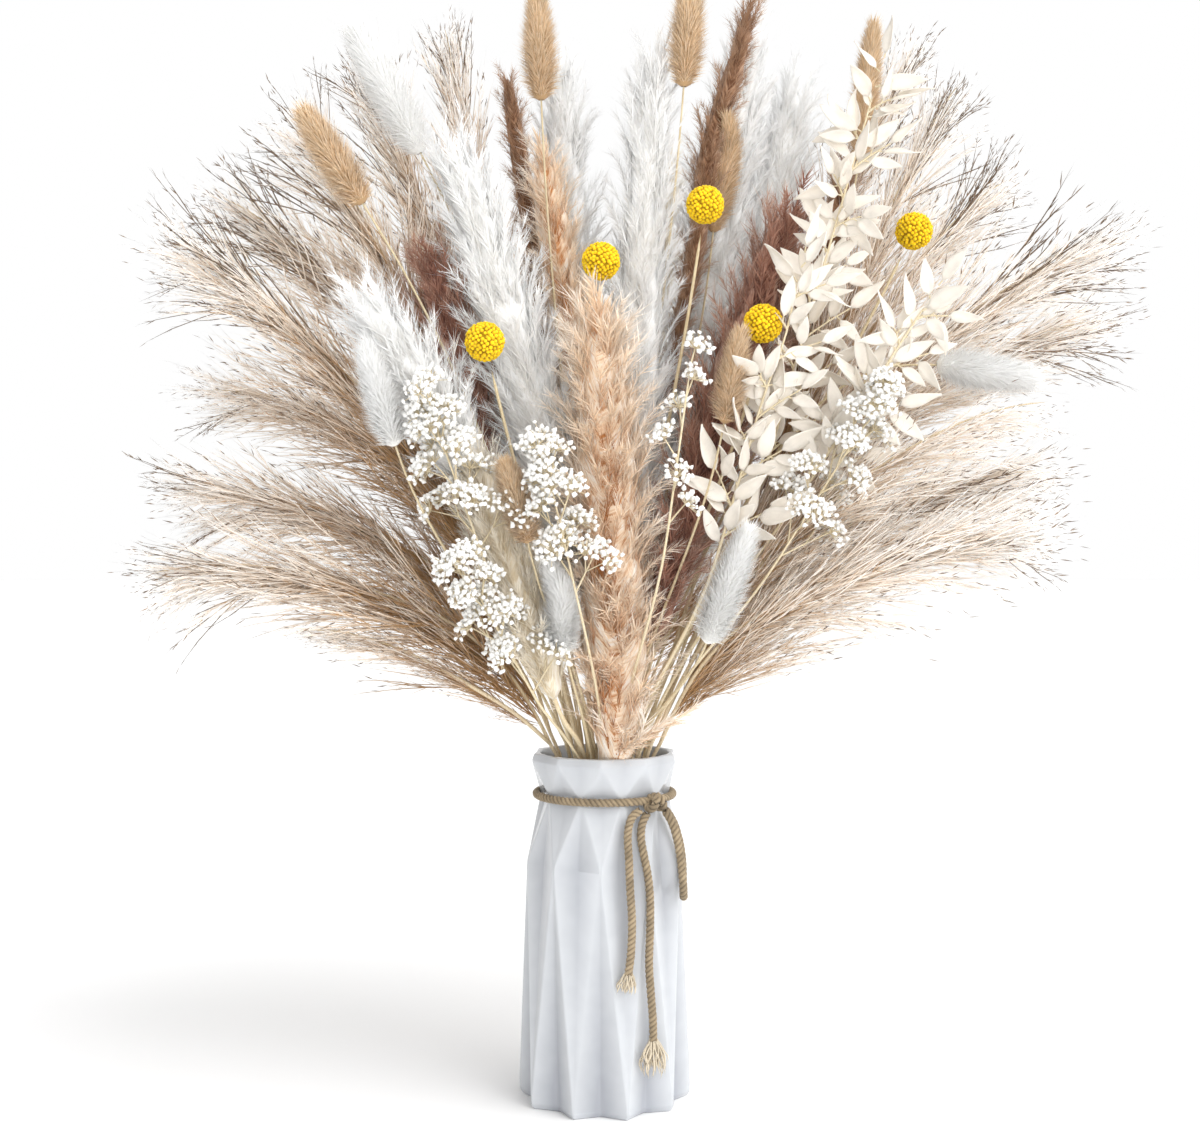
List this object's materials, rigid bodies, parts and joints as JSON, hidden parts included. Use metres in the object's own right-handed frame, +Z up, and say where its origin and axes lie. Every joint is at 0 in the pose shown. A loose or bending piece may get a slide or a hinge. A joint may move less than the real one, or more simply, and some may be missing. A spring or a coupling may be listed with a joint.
{
  "type": "vase of dried pampas grass",
  "caption": "Pleated white ceramic vase with a jute tie, holding a fan of dried pampas, reed grass, bunny tails, yellow balls, baby's breath and bleached leaves.",
  "frame": {"origin": "middle of the vase's flat underside", "axes": "+Z up along the vase's axis; the bouquet's front, with the knot at its right, faces -Y"},
  "size_m": [0.588, 0.3262, 0.6165],
  "materials": {
    "glaze": "white gloss glaze",
    "jute": "twisted jute cord, matte",
    "yellow": "dried flower head, matte yellow",
    "cream": "dried plant, cream",
    "ivory": "bleached leaf, ivory",
    "white": "bleached dried plant, white",
    "tan": "dried plant, tan",
    "apricot": "dried plant, apricot",
    "brown": "dyed dried plant, brown",
    "mauve": "dyed dried plant, mauve brown",
    "straw": "dried reed grass, straw"
  },
  "bodies": {
    "root": {"vase": "glaze", "rope_tie": "jute", "rope_loop": "jute", "rope_tail_short": "jute", "rope_tail_long": "jute", "ball_left": "yellow", "ball_left_stem": "cream", "ball_low_mid": "yellow", "ball_low_mid_stem": "cream", "ball_high": "yellow", "ball_high_stem": "cream", "ball_right": "yellow", "ball_right_stem": "cream", "ball_far_right": "yellow", "ball_far_right_stem": "cream", "ruscus_tall": "ivory", "ruscus_mid": "ivory", "ruscus_right": "ivory", "breath_left_high": "white", "breath_mid": "white", "breath_left_low": "white", "breath_right": "white", "breath_sprig": "white", "bunny_tan_left": "tan", "bunny_tan_top": "tan", "bunny_tan_peak": "tan", "bunny_tan_behind": "tan", "bunny_tan_low": "tan", "bunny_tan_right": "tan", "bunny_tan_small": "tan", "bunny_white_high": "white", "bunny_white_left": "white", "bunny_white_mid": "white", "bunny_white_right": "white", "bunny_white_low": "white", "pampas_apricot": "apricot", "pampas_apricot_high": "apricot", "pampas_white_left": "white", "pampas_white_mid": "white", "pampas_white_back": "white", "pampas_white_tall": "white", "pampas_white_far": "white", "pampas_white_small": "white", "pampas_cream": "cream", "pampas_brown_left": "brown", "pampas_brown_tall": "brown", "pampas_mauve_left": "mauve", "pampas_mauve_right": "mauve", "pampas_brown_right": "brown", "pampas_cream_rear": "cream", "reed_left_low": "straw", "reed_left_mid": "straw", "reed_left_high": "straw", "reed_left_top": "straw", "reed_top": "straw", "reed_right_low": "straw", "reed_right_mid": "straw", "reed_right_high": "straw", "reed_right_top": "straw", "reed_rear": "straw"}
  },
  "joints": []
}
